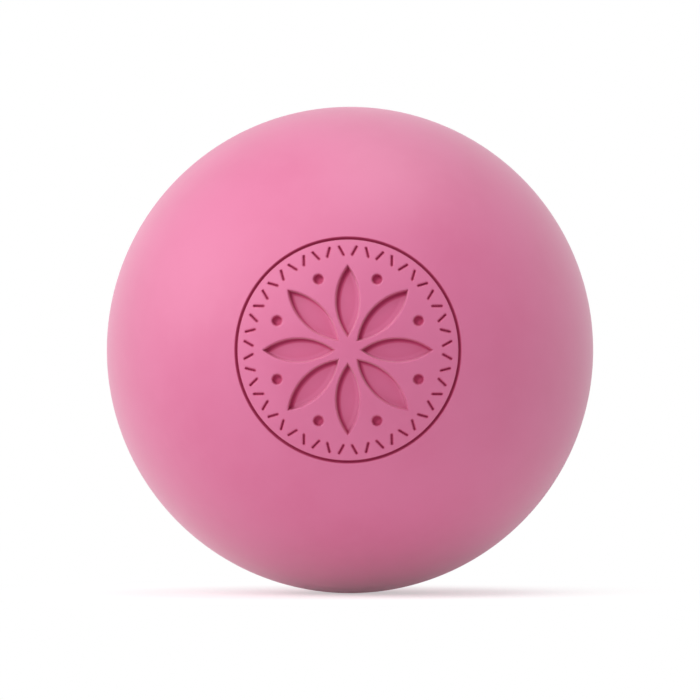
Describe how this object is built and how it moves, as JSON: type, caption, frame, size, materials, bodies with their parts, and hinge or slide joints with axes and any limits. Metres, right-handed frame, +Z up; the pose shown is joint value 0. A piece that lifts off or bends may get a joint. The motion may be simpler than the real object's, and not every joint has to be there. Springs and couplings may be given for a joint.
{
  "type": "lacrosse ball",
  "caption": "Solid rubber lacrosse ball: a dense inner core in a smooth coloured cover moulded as half shells, with a sunk round rosette emblem on the front.",
  "frame": {"origin": "centre of the ball", "axes": "+Z up; the sunk emblem is centred on -Y and faces that way, and the half shells of the cover meet in the plane of X and Z"},
  "size_m": [0.063, 0.063, 0.063],
  "materials": {
    "cover_rubber": "matte",
    "core_rubber": "matte"
  },
  "bodies": {
    "root": {"core": "core_rubber", "front_cover": "cover_rubber", "rear_cover": "cover_rubber"}
  },
  "joints": []
}
